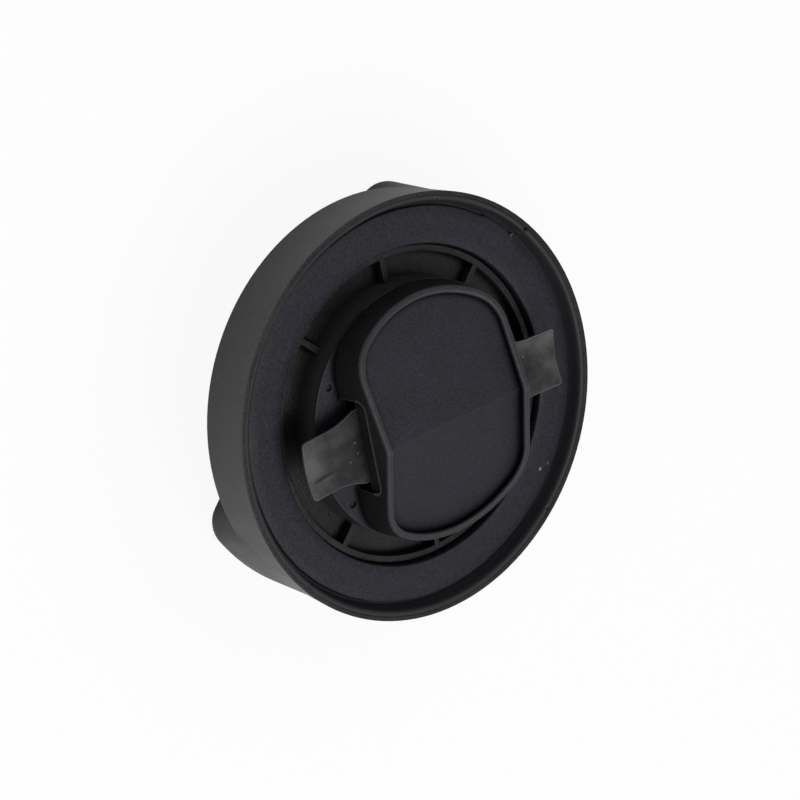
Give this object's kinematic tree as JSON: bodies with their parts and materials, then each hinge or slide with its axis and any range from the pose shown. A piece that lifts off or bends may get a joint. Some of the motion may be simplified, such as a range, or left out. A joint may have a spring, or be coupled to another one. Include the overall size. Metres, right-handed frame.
{
  "type": "oil filler cap",
  "caption": "Bayonet oil filler cap lying on its bar grip, underside up: black moulded cap, rubber gasket, spring steel locking tongues and a gabled splash baffle.",
  "frame": {"origin": "centre of the flat of the bar grip that the cap lies on, on the axis of the round cap", "axes": "+Z along the axis of the cap, out of its underside; X along the two locking tongues; Y across them"},
  "size_m": [0.078, 0.078, 0.0362],
  "materials": {
    "cap_moulding": "moulded glass-filled nylon, satin black with a fine moulding texture",
    "gasket_rubber": "moulded oil-resistant rubber, matte black",
    "spring_steel": "blackened spring steel, semi-gloss",
    "baffle_moulding": "moulded nylon, matte black"
  },
  "bodies": {
    "root": {"cap_body": "cap_moulding", "gasket": "gasket_rubber", "locking_spring": "spring_steel", "baffle": "baffle_moulding"}
  },
  "joints": []
}
